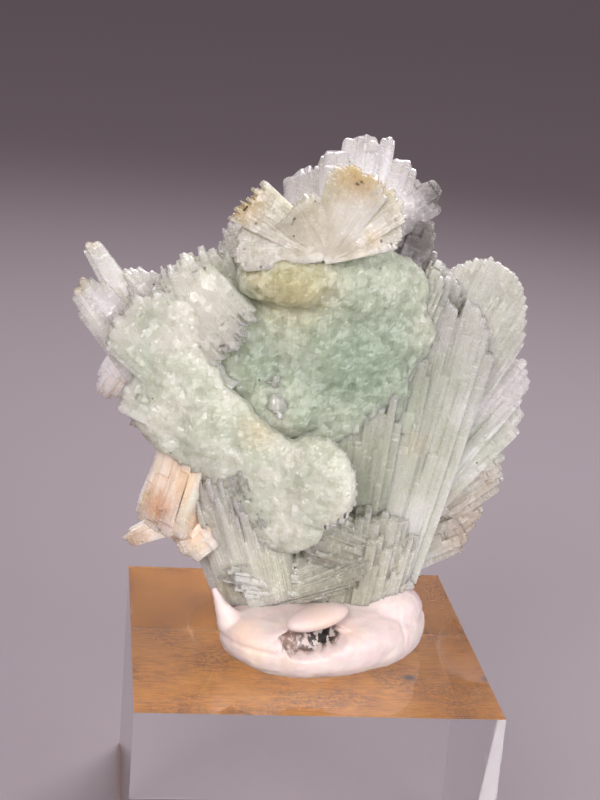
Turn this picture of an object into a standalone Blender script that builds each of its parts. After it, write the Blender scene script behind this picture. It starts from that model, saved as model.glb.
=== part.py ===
"""A pale green cluster of bladed aragonite, held by white putty on a clear acrylic block with a brown sheet below.

The origin is the centre of the footprint, +Z is up and -Y is the front. Lengths in this file are in millimetres
until add_object scales a mesh to metres.
"""
import math
import random
from dataclasses import dataclass

import bmesh
import bpy
from mathutils import Matrix, Vector, noise

MM = 0.001

# The block, and what lies between it and the surface that it stands on
BLOCK_SIDE = 40.0
BLOCK_TOP = 25.0
BLOCK_EDGE = 0.3
SHEET_THICKNESS = 0.4
SHEET_MARGIN = 0.2
GAP = 0.3

# The putty: a boat-shaped lump that runs from the front left to the back right, with a recess in its front
PUTTY_CENTRE = (2.0, -3.2)
PUTTY_HALF = (12.8, 8.8, 4.6)
PUTTY_TURN = math.radians(22)
PUTTY_MIDDLE = 2.7
PUTTY_LUMPS = 0.35
RECESS_CENTRE = (-0.9, -12.2, 29.0)
RECESS_HALF = (5.2, 2.8, 2.1)
FLAP_CENTRE = (-0.7, -10.8, 30.9)
FLAP_HALF = (3.3, 1.6, 0.9)
SPUR_FOOT = (-9.4, -6.4, 29.6)
SPUR_TIP = (-11.6, -6.2, 33.2)
SPUR_RADII = (1.5, 0.35)

# The ways that the broad faces of the fans look
FRONT = (-0.15, -0.95, 0.25)
FRONT_UP = (-0.1, -0.85, 0.5)
FRONT_LEFT = (-0.55, -0.8, 0.2)
FRONT_RIGHT = (0.45, -0.85, 0.2)
BACK = (0.1, 0.95, 0.2)
BACK_LEFT = (-0.6, 0.75, 0.2)
BACK_RIGHT = (0.6, 0.75, 0.2)

# How far neighbouring blades stand above each other, how uneven their lengths are, and how blunt their ends
BLADE_STEP = 0.45
BLADE_JAG = 0.05
BLADE_CHISEL = 0.45

# How much the ends of the crystals on a knob stand in or out, as a share of its radius
KNOB_RELIEF = 0.06


@dataclass(frozen=True)
class Fan:
    """A sheaf of flat blades side by side; each pair of halves is across the fan and through it."""

    name: str
    root: tuple
    tip: tuple
    root_half: tuple
    tip_half: tuple
    blades: int = 5
    rounding: float = 0.2
    face: tuple = FRONT


@dataclass(frozen=True)
class Knob:
    """A rounded lump of crystal ends, as an ellipsoid with radii along X, Y and Z."""

    name: str
    centre: tuple
    radii: tuple
    fineness: int = 2


CROWN = [
    Fan("crown_middle", (1.5, 4, 64), (1.9, 6, 82.2), (4, 3), (4.3, 2.1), 6, 0.35),
    Fan("crown_left", (-1, 4, 64), (-4.2, 5.5, 77.2), (3.5, 2.5), (3.2, 1.8), 4, 0.3),
    Fan("crown_spike", (3.4, 5, 70), (5.3, 6, 82.8), (2, 1.6), (1.6, 1.2), 2, 0.2),
    Fan("crown_right", (4, 5, 64), (8.4, 5.5, 79.6), (3, 2.2), (2.6, 1.5), 3, 0.4),
    Fan("crown_lobe", (5, 4, 64), (11.9, 5, 76.8), (3, 2.4), (3.1, 1.7), 3, 0.45),
    Fan("crown_neck", (5, 4, 57), (10.8, 4, 71.5), (3.5, 3), (2.4, 2), 3, 0.2),
]

CREAM_FANS = [
    Fan("cream_low", (-0.6, -3.6, 70.2), (-11.4, -4.8, 72.2), (1.8, 1.6), (3.4, 1.3), 4, 0.1, FRONT_UP),
    Fan("cream_left", (-0.8, -3.6, 70.6), (-9.6, -5, 77), (2.2, 1.7), (3.8, 1.3), 4, 0.1, FRONT_UP),
    Fan("cream_middle", (-0.6, -3.4, 70.6), (-4.8, -4.2, 77), (2.4, 1.7), (3.4, 1.3), 4, 0.1, FRONT_UP),
    Fan("cream_right", (-0.6, -3.4, 70), (2.4, -3.8, 80.4), (2.8, 2.2), (4.8, 1.5), 5, 0.2, FRONT_UP),
    Fan("cream_lobe", (-1, -3.8, 70.6), (7.2, -5, 76.4), (2.2, 2), (4.4, 1.5), 5, 0.3, FRONT_UP),
]

CENTRE = [
    Knob("druse_olive", (-5, -1.6, 67.4), (6, 3.8, 4), 3),
    Knob("druse_top", (3.2, -1.2, 67.4), (8.2, 3.8, 4.8), 3),
    Knob("druse_right", (8.2, 1, 65), (5, 2.9, 4.8)),
    Knob("druse_slope", (0.5, -0.8, 64), (9.8, 3.8, 5.2)),
    Knob("druse_bowl", (2.5, 0.4, 60), (11.2, 3.7, 6.2)),
    Knob("druse_low", (2, 0.4, 54), (10.2, 3.7, 6.2)),
    Knob("druse_left", (-8, 1.6, 60), (6.2, 4.2, 6.2)),
    Knob("druse_step", (-4, -1.2, 54), (5.2, 3.4, 4.6)),
    Fan("groove", (4.4, 0.6, 33), (5.2, 0.6, 57), (3.4, 3.4), (5, 3.2), 3, 0.2),
    Fan("heart", (0, 3, 31), (0, 4, 66), (9, 5), (13.5, 6), 4, 0.25),
]

LEFT_WING = [
    Fan("wing_finger", (-16, 3, 54.6), (-27, 2.4, 70.4), (2.8, 1.8), (1.3, 0.9), 2, 0.1),
    Fan("wing_tip", (-15, 2, 52), (-27.4, 1.5, 65.6), (3.6, 2.6), (2.4, 1.4), 3, 0.15),
    Fan("wing_inner", (-13, 3, 57), (-22.4, 2, 67.4), (3.2, 2.2), (2.2, 1.4), 3, 0.2),
    Fan("wing_sheet", (-12, 1.8, 53), (-23, 0.6, 63.8), (4.2, 2.6), (4.6, 1.7), 4, 0.15),
    Fan("wing_top", (-10.6, 0.8, 57), (-16, 0.2, 69.8), (4.6, 2.6), (4.6, 1.8), 5, 0.1),
    Fan("wing_glass", (-6, 3, 62), (-11, 3, 73.2), (3.2, 2.6), (3.2, 1.7), 4, 0.3),
]

CRUST = [
    Knob("crust_left", (-16.6, -1.8, 54.6), (5.2, 3.1, 5.8)),
    Knob("crust_middle", (-13.6, -2.6, 54), (6.2, 3.3, 6.8), 3),
    Knob("crust_right", (-9.6, -4, 50.6), (5.4, 3.1, 5), 3),
    Knob("crust_low", (-12.6, -4, 48.8), (5, 3.3, 3.8)),
    Knob("ear_back", (-5.8, -6, 46.6), (5.4, 3.3, 5.2), 3),
    Knob("ear_knob", (-2.4, -7.4, 44.6), (4.6, 2.3, 4.6)),
    Knob("crust_top", (-16.4, -0.4, 61.6), (6, 2.7, 5.8), 3),
    Knob("crust_high", (-20, 0.6, 61), (4.6, 2.1, 4.6)),
    Fan("ear", (-7, -6.2, 46.4), (3, -9.8, 46.2), (4.8, 2.2), (6.3, 1.4), 7, 0.5),
    Fan("mid_fan", (-16, 0, 67.4), (-11, -5.2, 62.2), (4, 2.2), (3.8, 1.2), 6, 0.0, FRONT_LEFT),
]

RIGHT_WING = [
    Fan("right_front", (8.4, 0, 34), (13.8, 1.4, 66), (4.6, 3.6), (6.5, 2.4), 7, 0.2, FRONT_RIGHT),
    Fan("right_steps", (7.6, 0.5, 44), (8.6, -0.8, 61.6), (3, 2.6), (2.8, 1.7), 3, 0.3),
    Fan("right_lobe", (11, 3, 50), (20.6, 4.5, 68.2), (5, 3), (6.7, 1.8), 7, 0.3),
    Fan("right_top", (8, 3, 50), (14.6, 3.8, 69.6), (4, 3), (3.5, 2.4), 4, 0.3),
    Fan("right_edge", (12, 3.4, 46), (23.7, 5.4, 59), (4, 2.8), (3.8, 1.7), 5, 0.2),
    Fan("right_blades", (11, 3, 42), (23.8, 5.4, 53.8), (3.6, 3), (3.4, 1.8), 5, 0.2),
    Fan("right_low", (10, 3, 38), (22.2, 4.8, 46.4), (3.4, 3), (3.2, 2), 4, 0.2),
    Fan("right_lower", (9, 2, 35), (21, 3.4, 41), (3.2, 3), (2.8, 2), 4, 0.2),
    Fan("right_tan", (7, 1, 34), (18.8, 1.2, 38.9), (2.8, 3), (2.5, 2.1), 4, 0.15),
]

FOOT = [
    Fan("foot", (1, -0.8, 27.6), (0.6, 0.4, 42), (8.6, 4.6), (12.5, 6.5), 6, 0.1),
    Fan("foot_left", (8, -1.2, 31.8), (-9.8, -4, 34.5), (2.4, 3), (2.8, 2.9), 4, 0.1),
    Fan("foot_right", (2, 0, 32.4), (13.2, 1, 34.4), (2.4, 3), (2.4, 2.8), 3, 0.1),
    Fan("left_face", (-5.5, -1.5, 31.5), (-11.6, -3, 48), (5.2, 3.6), (6.2, 3.1), 7, 0.1, FRONT_LEFT),
    Fan("spray", (8, -1, 36), (-1.4, -6, 41), (2.6, 2.7), (3.5, 2.1), 5, 0.2),
]

TAN_CLUMP = [
    Fan("tan_column", (-13.5, -0.5, 51), (-17.4, -2, 38.2), (3.2, 2.8), (3.6, 2.5), 4, 0.1, FRONT_LEFT),
    Fan("tan_spike", (-13, -1, 41), (-21, -2, 37.2), (2.4, 2), (1, 0.9), 2, 0.1),
    Fan("tan_low", (-9, -1, 42), (-14.8, -2.6, 36), (3, 2.6), (2.4, 2), 3, 0.1),
    Fan("tan_shelf", (-12, 2, 53), (-21.2, 3, 49.8), (2.6, 2.4), (2.2, 1.8), 3, 0.2),
    Fan("lilac_blades", (-18, 3.2, 60.4), (-24.2, 4.2, 52.4), (3, 2.2), (2.5, 1.5), 3, 0.25, FRONT_LEFT),
]

BACK_FANS = [
    Fan("back_middle", (0, 3, 35), (1.5, 10, 60), (8, 4.4), (8.5, 3), 6, 0.3, BACK),
    Fan("back_left", (-3, 4, 37), (-13.5, 9, 57), (5, 4), (6, 3), 5, 0.3, BACK_LEFT),
    Fan("back_right", (4, 4, 37), (13.5, 10, 56), (5, 4.4), (6, 3.2), 5, 0.3, BACK_RIGHT),
    Fan("back_top", (0, 5, 52), (2, 9.6, 71.5), (6, 3.4), (6.4, 2.2), 6, 0.3, BACK),
    Fan("back_low_left", (0, 2, 33), (-8.5, 8.6, 42.5), (4, 3), (4, 2.4), 4, 0.2, BACK_LEFT),
    Fan("back_low_right", (2, 2, 33), (8.5, 9.2, 41.5), (4, 3), (4, 2.4), 4, 0.2, BACK_RIGHT),
]

CRYSTALS = CROWN + CREAM_FANS + CENTRE + LEFT_WING + CRUST + RIGHT_WING + FOOT + TAN_CLUMP + BACK_FANS


def clear_scene():
    for old in list(bpy.data.objects):
        bpy.data.objects.remove(old, do_unlink=True)


def new_collection(name, hidden=False):
    collection = bpy.data.collections.new(name)
    bpy.context.scene.collection.children.link(collection)
    collection.hide_render = hidden
    return collection


def surface(name, color, roughness, transmission=0.0, ior=1.5):
    material = bpy.data.materials.new(name)
    material.use_nodes = True
    shader = material.node_tree.nodes["Principled BSDF"]
    shader.inputs["Base Color"].default_value = (*color, 1.0)
    shader.inputs["Roughness"].default_value = roughness
    shader.inputs["Metallic"].default_value = 0.0
    shader.inputs["Transmission Weight"].default_value = transmission
    shader.inputs["IOR"].default_value = ior
    return material


def add_object(name, bm, collection, material=None):
    """An object in metres, from a mesh that was built in millimetres."""
    bmesh.ops.recalc_face_normals(bm, faces=bm.faces)
    bmesh.ops.scale(bm, vec=(MM, MM, MM), verts=bm.verts)
    mesh = bpy.data.meshes.new(name)
    bm.to_mesh(mesh)
    bm.free()
    if material:
        mesh.materials.append(material)
    obj = bpy.data.objects.new(name, mesh)
    collection.objects.link(obj)
    return obj


def add_hidden(name, bm, collection):
    """A body that only joins or cuts others."""
    obj = add_object(name, bm, collection)
    obj.hide_render = True
    obj.display_type = "WIRE"
    return obj


def combine(obj, others, operation):
    """Join the bodies of a collection to an object, or cut them out of it."""
    change = obj.modifiers.new(operation.lower(), "BOOLEAN")
    change.operation = operation
    change.operand_type = "COLLECTION"
    change.collection = others
    change.solver = "EXACT"


def islands(bm):
    """The groups of faces that hang together by their edges."""
    waiting = set(bm.faces)
    while waiting:
        group = [waiting.pop()]
        for face in group:
            for edge in face.edges:
                for near in edge.link_faces if edge.is_manifold else ():
                    if near in waiting:
                        waiting.remove(near)
                        group.append(near)
        yield group


def keep_outer_skin(obj):
    """Apply the modifiers, and drop the walls of the pockets that they seal and the crumbs that they cut off."""
    bpy.context.view_layer.update()
    finished = obj.evaluated_get(bpy.context.evaluated_depsgraph_get())
    bm = bmesh.new()
    bm.from_mesh(finished.to_mesh())
    finished.to_mesh_clear()
    *small, _ = sorted(islands(bm), key=len)
    bmesh.ops.delete(bm, geom=[face for group in small for face in group], context="FACES")
    obj.modifiers.clear()
    bm.to_mesh(obj.data)
    bm.free()


def fan_axes(fan):
    """Unit vectors along the fan, across it and out of its face."""
    along = (Vector(fan.tip) - Vector(fan.root)).normalized()
    face = Vector(fan.face)
    face = (face - along * face.dot(along)).normalized()
    return along, along.cross(face), face


def blade_row(fan, dice):
    """For each blade: its two edges across the fan, how far it stands out, and its length."""
    blades = []
    for i in range(fan.blades):
        start = -1 + 2 * i / fan.blades
        end = start + 2 / fan.blades
        middle = abs(start + end) / 2
        proud = BLADE_STEP * (i % 2 - 0.5 + dice.uniform(-0.2, 0.2))
        length = 1 - fan.rounding * middle**2.2 + BLADE_JAG * (i % 2 + dice.uniform(-1, 1))
        blades.append((start, end, proud, length))
    return blades


def add_fan(bm, fan, grow=0.0):
    """Add a closed fan: two stepped faces of blades, whose ends meet in one uneven chisel edge."""
    dice = random.Random(fan.name)
    along, across, face = fan_axes(fan)
    root = Vector(fan.root)
    reach = (Vector(fan.tip) - root).length
    front = blade_row(fan, dice)
    back = blade_row(fan, dice)
    stretch = grow / reach
    chisel = BLADE_CHISEL * min(fan.tip_half) / reach

    def point(u, height, side, proud):
        """A place at u across the fan (-1 to 1) and a height up it (0 to 1), on one side or, at 0, inside."""
        share = max(0.0, min(1.0, height))
        half_width = grow + fan.root_half[0] + (fan.tip_half[0] - fan.root_half[0]) * share**0.8
        half_depth = grow + fan.root_half[1] + (fan.tip_half[1] - fan.root_half[1]) * share
        bulge = 0.4 + 0.6 * (1 - abs(u) ** 2.4) ** 0.5
        depth = side * (half_depth * bulge + proud * (0.5 + 0.5 * share))
        return root + along * reach * height + across * half_width * u + face * depth

    def ring(level_of):
        corners = []
        for blades, side in ((front, 1), (back[::-1], -1)):
            for start, end, proud, length in blades:
                for u in (start, end)[::side]:
                    corners.append(bm.verts.new(point(u, level_of(length), side, proud)))
        return corners

    rings = [
        ring(lambda length: -stretch),
        ring(lambda length: 0.5),
        ring(lambda length: length - chisel + stretch),
    ]
    for low, high in zip(rings, rings[1:]):
        for a in range(len(low)):
            b = (a + 1) % len(low)
            bm.faces.new((low[a], low[b], high[b], high[a]))
    bm.faces.new(rings[0][::-1])
    close_blades(bm, rings[-1], [
        bm.verts.new(point((f[0] + f[1]) / 2, max(f[3], b[3]) + stretch, 0, 0)) for f, b in zip(front, back)
    ])


def close_blades(bm, rim, crest):
    """Close the ends of a fan's blades: the front half of the rim runs one way, and the back half returns."""
    count = len(crest)
    for i in range(count):
        front_start, front_end = rim[2 * i], rim[2 * i + 1]
        back_end, back_start = rim[-2 * i - 2], rim[-2 * i - 1]
        bm.faces.new((front_start, front_end, crest[i]))
        bm.faces.new((back_end, back_start, crest[i]))
        if i + 1 < count:
            bm.faces.new((front_end, rim[2 * i + 2], crest[i + 1], crest[i]))
            bm.faces.new((back_end, crest[i], crest[i + 1], rim[-2 * i - 3]))
    bm.faces.new((rim[0], crest[0], rim[-1]))
    bm.faces.new((rim[2 * count - 1], rim[2 * count], crest[-1]))


def add_lump(bm, place, relief, dice, subdivisions):
    """Add a sphere whose points stand in and out by up to the relief, under a matrix that places it."""
    for vert in bmesh.ops.create_icosphere(bm, subdivisions=subdivisions, radius=1.0)["verts"]:
        vert.co = place @ (vert.co * (1 + dice.uniform(-relief, relief)))


def add_knob(bm, knob):
    place = Matrix.Translation(knob.centre) @ Matrix.Diagonal((*knob.radii, 1.0))
    add_lump(bm, place, KNOB_RELIEF, random.Random(knob.name), knob.fineness)


def crystal_body(crystal, grow=0.0):
    bm = bmesh.new()
    if isinstance(crystal, Fan):
        add_fan(bm, crystal, grow)
    else:
        add_knob(bm, crystal)
    return bm


def build_cluster(parts):
    """All the fans and knobs, grown together in one solid."""
    grown = new_collection("crystals that grow together", hidden=True)
    first, *rest = CRYSTALS
    material = surface("crystal", (0.66, 0.72, 0.6), 0.3, 0.4, 1.6)
    cluster = add_object("crystal_cluster", crystal_body(first), parts, material)
    for crystal in rest:
        add_hidden(crystal.name, crystal_body(crystal), grown)
    combine(cluster, grown, "UNION")
    keep_outer_skin(cluster)


def putty_lump():
    """An ellipsoid pressed flat on the block, with soft dents."""
    bm = bmesh.new()
    base = BLOCK_TOP + GAP
    bmesh.ops.create_icosphere(bm, subdivisions=3, radius=1.0)
    turn = Matrix.Rotation(PUTTY_TURN, 4, "Z")
    place = Matrix.Translation((*PUTTY_CENTRE, base + PUTTY_MIDDLE)) @ turn @ Matrix.Diagonal((*PUTTY_HALF, 1.0))
    for vert in bm.verts:
        vert.co = place @ vert.co
        vert.co += vert.co.normalized() * noise.noise(vert.co / 5) * PUTTY_LUMPS
    geom = list(bm.verts) + list(bm.edges) + list(bm.faces)
    bmesh.ops.bisect_plane(bm, geom=geom, plane_co=(0, 0, base), plane_no=(0, 0, 1), clear_inner=True)
    bmesh.ops.holes_fill(bm, edges=[edge for edge in bm.edges if edge.is_boundary])
    return bm


def ellipsoid(centre, half, turn=0.0):
    bm = bmesh.new()
    bmesh.ops.create_icosphere(bm, subdivisions=2, radius=1.0)
    place = Matrix.Translation(centre) @ Matrix.Rotation(turn, 4, "Z") @ Matrix.Diagonal((*half, 1.0))
    bmesh.ops.transform(bm, matrix=place, verts=bm.verts)
    return bm


def spur():
    """The thin tail of putty that was drawn up the left side of the foot."""
    bm = bmesh.new()
    foot, tip = Vector(SPUR_FOOT), Vector(SPUR_TIP)
    turn = (tip - foot).to_track_quat("Z", "Y").to_matrix().to_4x4()
    bmesh.ops.create_cone(
        bm,
        cap_ends=True,
        segments=10,
        radius1=SPUR_RADII[0],
        radius2=SPUR_RADII[1],
        depth=(tip - foot).length,
        matrix=Matrix.Translation((foot + tip) / 2) @ turn,
    )
    return bm


def build_putty(parts):
    added = new_collection("putty that is added", hidden=True)
    removed = new_collection("room in the putty", hidden=True)
    putty = add_object("mineral_putty", putty_lump(), parts, surface("putty", (0.86, 0.74, 0.72), 0.6))
    add_hidden("flap", ellipsoid(FLAP_CENTRE, FLAP_HALF, PUTTY_TURN), added)
    add_hidden("spur", spur(), added)
    add_hidden("recess", ellipsoid(RECESS_CENTRE, RECESS_HALF, PUTTY_TURN), removed)
    for crystal in CRYSTALS:
        if isinstance(crystal, Fan) and crystal.root[2] < 36:
            add_hidden("room_for_" + crystal.name, crystal_body(crystal, GAP + 0.05), removed)
    combine(putty, removed, "DIFFERENCE")
    combine(putty, added, "UNION")
    keep_outer_skin(putty)


def box(low, high):
    bm = bmesh.new()
    bmesh.ops.create_cube(bm, size=1.0)
    size = Vector(high) - Vector(low)
    middle = (Vector(high) + Vector(low)) / 2
    bmesh.ops.transform(bm, matrix=Matrix.Translation(middle) @ Matrix.Diagonal((*size, 1.0)), verts=bm.verts)
    return bm


def build_block(parts):
    half = BLOCK_SIDE / 2
    clear = surface("acrylic", (1.0, 1.0, 1.0), 0.02, 1.0, 1.49)
    low = (-half, -half, SHEET_THICKNESS + GAP)
    block = add_object("acrylic_block", box(low, (half, half, BLOCK_TOP)), parts, clear)
    edge = block.modifiers.new("polished edges", "BEVEL")
    edge.width = BLOCK_EDGE * MM
    edge.segments = 2


def build_sheet(parts):
    half = BLOCK_SIDE / 2 - SHEET_MARGIN
    brown = surface("brown_sheet", (0.48, 0.2, 0.08), 0.7)
    add_object("backing_sheet", box((-half, -half, 0.0), (half, half, SHEET_THICKNESS)), parts, brown)


def main():
    clear_scene()
    parts = new_collection("blue aragonite cluster")
    build_cluster(parts)
    build_putty(parts)
    build_block(parts)
    build_sheet(parts)


main()
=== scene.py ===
"""The looks of a cluster of bladed aragonite that putty holds on a clear block over a brown sheet.

Lengths in the tables are millimetres, and each mesh is scaled to metres when it is made.
"""

import math
import random
from dataclasses import dataclass

import bmesh
import bpy
from mathutils import Matrix, Vector, noise


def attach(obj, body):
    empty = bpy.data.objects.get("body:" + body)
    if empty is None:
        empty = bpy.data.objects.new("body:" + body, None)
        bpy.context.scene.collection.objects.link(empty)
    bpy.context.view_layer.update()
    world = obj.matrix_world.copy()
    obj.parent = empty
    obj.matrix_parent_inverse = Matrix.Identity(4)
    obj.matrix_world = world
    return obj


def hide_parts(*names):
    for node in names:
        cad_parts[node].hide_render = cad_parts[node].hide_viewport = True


MM = 0.001

# The camera stands where the four upper corners of the block fall on those of the photograph
CAMERA_PLACE = (-26.64, -182.76, 108.72)
CAMERA_YAW = math.radians(-7.53)
CAMERA_PITCH = math.radians(16.54)
CAMERA_ROLL = math.radians(4.61)
CAMERA_LENS = 77.0
CAMERA_SENSOR = 36.0

# The ways that the broad faces of the fans look
FRONT = (-0.15, -0.95, 0.25)
FRONT_LEFT = (-0.55, -0.8, 0.2)
BACK = (0.1, 0.95, 0.2)
BACK_LEFT = (-0.6, 0.75, 0.2)
BACK_RIGHT = (0.6, 0.75, 0.2)


@dataclass(frozen=True)
class Fan:
    """A sheaf of thin blades in layers; each pair of halves is across the fan and through it.

    rounding is how much shorter the outer blades are, blade is a blade's width, jag is how uneven their ends
    are, and step is how far neighbours stand apart. drop is the share of the thickness that goes at each step
    down, and lens the share that goes towards the sides.
    """

    name: str
    root: tuple
    tip: tuple
    root_half: tuple
    tip_half: tuple
    rounding: float = 0.2
    face: tuple = FRONT
    blade: float = 0.4
    jag: float = 0.05
    step: float = 0.1
    drop: float = 0.13
    lens: float = 0.6


@dataclass(frozen=True)
class Lump:
    """An ellipsoid that melts into the others of its crust. A flat below 1 flattens its front and its back."""

    centre: tuple
    radii: tuple
    flat: float = 1.0


@dataclass(frozen=True)
class Crust:
    """Lumps under one sugary skin, with the size and the height of the crystal ends on it.

    lean is how far each lump comes forward for every millimetre to the right.
    """

    name: str
    lumps: tuple
    grain: float = 1.0
    relief: float = 0.3
    lean: float = 0.0


CROWN = [
    Fan(
        "crown_middle", (1.5, 4, 66), (3, 6, 83.1), (2.8, 2.2), (2.1, 1.5),
        rounding=0.06, blade=0.9, jag=0.015,
    ),
    Fan(
        "crown_second", (1, 4.4, 64), (0, 5, 81.8), (3.4, 2.4), (2.8, 1.8),
        rounding=0.25, blade=0.9, jag=0.03,
    ),
    Fan(
        "crown_left", (-1, 4, 64), (-3.8, 5.5, 79.2), (3.2, 2.4), (2.8, 1.7),
        rounding=0.25, blade=0.9, jag=0.03,
    ),
    Fan(
        "crown_spike", (4.4, 5, 72), (5.9, 6, 83.1), (1.6, 1.4), (0.8, 1),
        rounding=0.1, blade=0.9, jag=0.02,
    ),
    Fan(
        "crown_right", (4, 5, 64), (7.5, 5.4, 80.8), (2.6, 2), (2, 1.5),
        rounding=0.1, blade=1.1, jag=0.02,
    ),
    Fan(
        "crown_lobe", (5, 4.5, 72.4), (11.7, 5, 77.8), (2.4, 2), (2.8, 1.2),
        rounding=0.42, blade=1.2, jag=0.0, step=0.03, drop=0.04,
    ),
    Fan("crown_neck", (6, 3, 57), (10.6, 3.4, 74), (3.5, 2.6), (2.2, 1.8), blade=0.8),
]

CREAM_FANS = [
    Fan(
        "cream_low", (-1.7, -3.4, 71.8), (-11.4, -4.6, 72.2), (1, 1.2), (3, 0.8),
        rounding=0.16, blade=0.3, step=0.02, drop=0.04, lens=0.1,
    ),
    Fan(
        "cream_left", (-1.7, -3.4, 71.6), (-10.5, -4.6, 77.2), (1, 1.2), (2.8, 0.8),
        rounding=0.06, blade=0.3, jag=0.06, step=0.01, drop=0.03, lens=0.1,
    ),
    Fan(
        "cream_middle", (-1.7, -3.4, 71.6), (-5.8, -4.4, 76.4), (1.4, 1.2), (3.4, 0.8),
        rounding=0.06, blade=0.3, step=0.01, drop=0.03, lens=0.1,
    ),
    Fan(
        "cream_right", (-1.7, -3.4, 71.4), (1.8, -4.4, 80.9), (1.2, 1.3), (3.8, 0.8),
        rounding=0.16, blade=0.3, jag=0.03, step=0.02, drop=0.04, lens=0.1,
    ),
    Fan(
        "cream_corner", (-1.7, -3.4, 71.4), (5.2, -4.4, 78.8), (1.2, 1.3), (3.4, 0.8),
        rounding=0.1, blade=0.3, jag=0.04, step=0.02, drop=0.04, lens=0.1,
    ),
    Fan(
        "cream_lobe", (-1.7, -3.4, 71.4), (6.2, -4.6, 75.4), (1.1, 1.3), (2.5, 0.9),
        rounding=0.16, blade=0.3, jag=0.02, step=0.02, drop=0.04, lens=0.1,
    ),
]

CENTRE = [
    Crust("druse", (
        Lump((-5.2, -2.7, 68.5), (5.7, 3.4, 3.3)),
        Lump((2.6, -0.8, 67.2), (8.4, 3.4, 5)),
        Lump((7.6, 1.4, 65), (4.4, 2.4, 5)),
        Lump((1.2, -0.4, 62.5), (10.8, 3.2, 8), 0.7),
        Lump((1.5, 0, 56.5), (10.2, 2.8, 8.4), 0.7),
        Lump((-8, 1.2, 60), (6, 4, 7)),
        Lump((-4, -1.2, 54), (5, 3, 4.4)),
    ), relief=0.27),
    Fan("heart", (0, 3, 31), (0, 4.4, 62), (9, 4.4), (13, 5.4), rounding=0.25, blade=0.9),
]

GROOVE = [
    Fan(
        "groove_floor", (4.4, 0.6, 33), (5.2, 0.2, 56), (3.4, 3.2), (5, 2.8),
        blade=0.7, jag=0.1, step=0.02, drop=0.04,
    ),
    Fan(
        "centre_steps", (1.5, 0.4, 54.6), (-6.4, -3.2, 55.2), (2, 1.6), (2.4, 1.4),
        rounding=0.1, blade=0.45, jag=0.12, step=0.05, drop=0.08,
    ),
    Fan(
        "crest_blades", (7, 0, 58), (11.2, 0.8, 70.2), (3, 2.2), (3, 1.6),
        rounding=0.3, blade=0.5, jag=0.1, step=0.05,
    ),
]

LEFT_WING = [
    Fan(
        "wing_finger", (-17, 3, 56), (-27, 2.4, 70.6), (2.6, 1.6), (1, 0.7),
        rounding=0.1, blade=0.7, jag=0.03,
    ),
    Fan(
        "wing_tip", (-17, 2, 54), (-27.6, 1.5, 65.8), (3.4, 2.4), (2.2, 1.2),
        rounding=0.15, blade=0.6, jag=0.03,
    ),
    Fan("wing_inner", (-13, 3, 58), (-22.4, 2, 67.4), (3, 2), (2, 1.2), blade=0.5),
    Fan("wing_glass", (-6, 3, 62), (-11, 3, 73), (3, 2.4), (3, 1.4), rounding=0.3),
]

CRUST = [
    Crust("crust_skin", (
        Lump((-16.4, -1.6, 54), (5.4, 2.4, 6.4), 0.6),
        Lump((-12.6, -3.1, 51), (5.2, 2.4, 5.6), 0.6),
        Lump((-9.8, -3.9, 48.8), (5, 2.4, 5), 0.6),
        Lump((-6.4, -5.1, 46.2), (5.4, 2.4, 5.8), 0.6),
        Lump((-1.2, -7.4, 46.8), (4.4, 2.1, 5.3), 0.6),
        Lump((-4, -5.8, 42.2), (4.4, 2.2, 4.2), 0.6),
        Lump((-17, -0.6, 60), (5.2, 1.7, 5.4), 0.6),
    ), grain=0.9, relief=0.25, lean=0.38),
    Fan(
        "crust_edge", (-13, -1, 51.6), (-21.6, -1.2, 56), (3.4, 1.8), (3.8, 0.9),
        rounding=0.1, blade=0.8, jag=0.1, step=0.05, drop=0.08, lens=0.3,
    ),
    Fan(
        "wing_sheet", (-12, 0, 54), (-22.6, -0.8, 64), (4, 2.4), (4.8, 1.2),
        rounding=0.15, jag=0.06, step=0.02, drop=0.04, lens=0.3,
    ),
    Fan(
        "wing_top", (-10.6, 0.8, 58), (-16, 0, 69.6), (4.4, 2.4), (4.4, 1.6),
        rounding=0.1, step=0.03, drop=0.05,
    ),
    Fan(
        "ear", (-3, -6.8, 46.4), (3.5, -8.7, 46.2), (4, 1.1), (4.6, 0.6),
        rounding=0.4, jag=0.03, step=0.03, drop=0.06,
    ),
    Fan(
        "mid_fan", (-15.6, 1, 66.6), (-10.8, -4.4, 61.8), (3.8, 2), (4, 0.9),
        rounding=0.06, face=FRONT_LEFT, blade=0.3, jag=0.12, step=0.01, drop=0.03, lens=0.4,
    ),
]

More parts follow.
